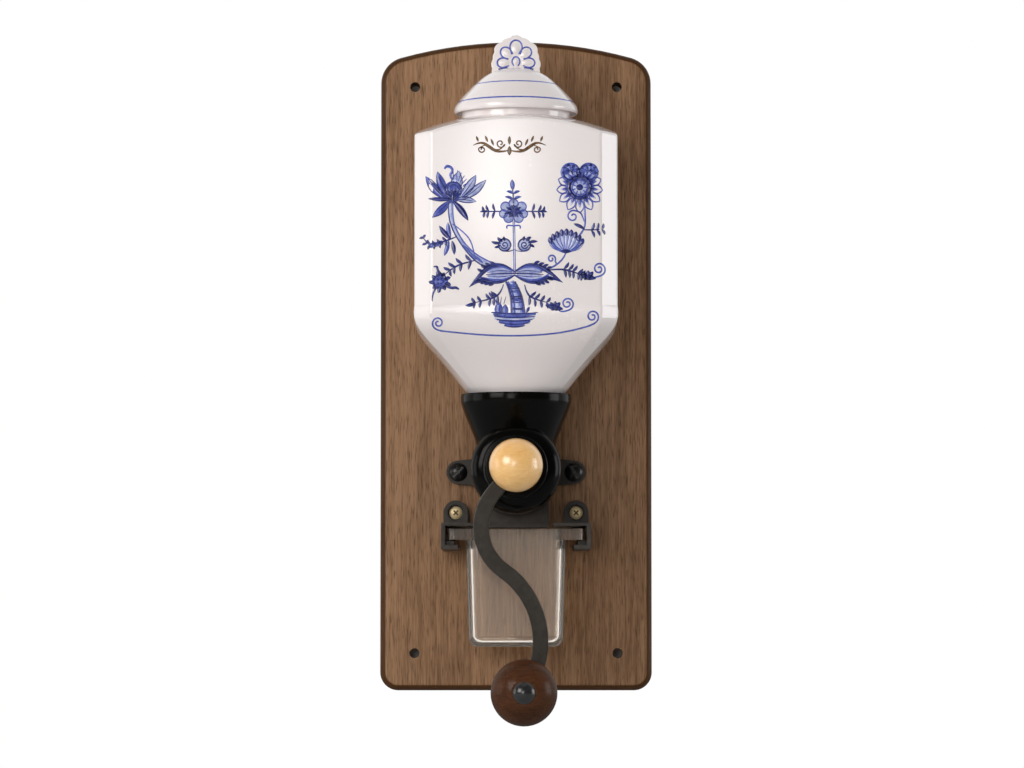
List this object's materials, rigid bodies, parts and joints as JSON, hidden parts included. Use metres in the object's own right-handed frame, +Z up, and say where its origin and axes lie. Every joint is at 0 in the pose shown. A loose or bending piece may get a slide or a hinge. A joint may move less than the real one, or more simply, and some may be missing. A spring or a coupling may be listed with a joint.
{
  "type": "wall-mounted hand coffee mill",
  "caption": "Wall-mounted hand coffee mill: porcelain bean jar over a cone-burr mill with an S-shaped crank, on a wooden board with a clear catch cup in side rails.",
  "frame": {"origin": "centre of the four wall screw holes, on the board's back face", "axes": "+Z up the board, -Y out of the wall towards the user, +X to the user's right"},
  "size_m": [0.15, 0.145, 0.3773],
  "materials": {
    "board_wood": "dark stain, satin",
    "porcelain": "white gloss glaze with cobalt painting",
    "black_gloss": "black gloss",
    "grey_matte": "dark grey matte",
    "dark_steel": "dark grey satin paint",
    "black_screw": "black oxide",
    "bare_steel": "ground steel",
    "bronze": "plain bronze",
    "brass": "bright brass",
    "ball_wood": "light varnish",
    "knob_wood": "dark varnish",
    "dark_chrome": "black chrome",
    "clear_plastic": "clear",
    "rubber": "soft black"
  },
  "bodies": {
    "base": {"backboard": "board_wood", "hopper": "porcelain", "hopper_gasket": "rubber", "hopper_spacer": "rubber", "hopper_washer": "rubber", "hopper_screw": "bare_steel", "mill_housing": "black_gloss", "housing_screws": "bare_steel", "mill_base": "grey_matte", "mill_screws": "black_screw", "outer_burr": "bare_steel", "rear_bush": "bronze", "front_bush": "bronze", "thrust_washer": "bare_steel", "left_rail": "grey_matte", "right_rail": "grey_matte", "rail_screws": "brass"},
    "crank": {"spindle": "bare_steel", "inner_burr": "bare_steel", "pressure_spring": "bare_steel", "crank_arm": "dark_steel", "ball_knob": "ball_wood", "ball_insert": "brass", "handle_axle": "dark_chrome", "handle_washer": "dark_steel"},
    "handle": {"handle_knob": "knob_wood"},
    "adjuster": {"adjusting_nut": "black_gloss"},
    "lid": {"lid": "porcelain"},
    "cup": {"catch_cup": "clear_plastic"}
  },
  "joints": [
    {"name": "crank_turn", "type": "hinge", "parent": "base", "child": "crank", "pos_m": [0, -0.1, -0.0573], "axis": [0, -1, 0], "continuous": true},
    {"name": "handle_spin", "type": "hinge", "parent": "crank", "child": "handle", "pos_m": [0.0042, -0.12, -0.1772], "axis": [0, -1, 0], "continuous": true},
    {"name": "grind_adjust", "type": "hinge", "parent": "crank", "child": "adjuster", "pos_m": [0, -0.099, -0.0573], "axis": [0, -1, 0], "range_deg": [-180, 180]},
    {"name": "lid_lift", "type": "slide", "parent": "base", "child": "lid", "axis": [0, 0, 1], "range_m": [0, 0.05]},
    {"name": "cup_slide", "type": "slide", "parent": "base", "child": "cup", "axis": [0, -1, 0], "range_m": [0, 0.022]}
  ]
}
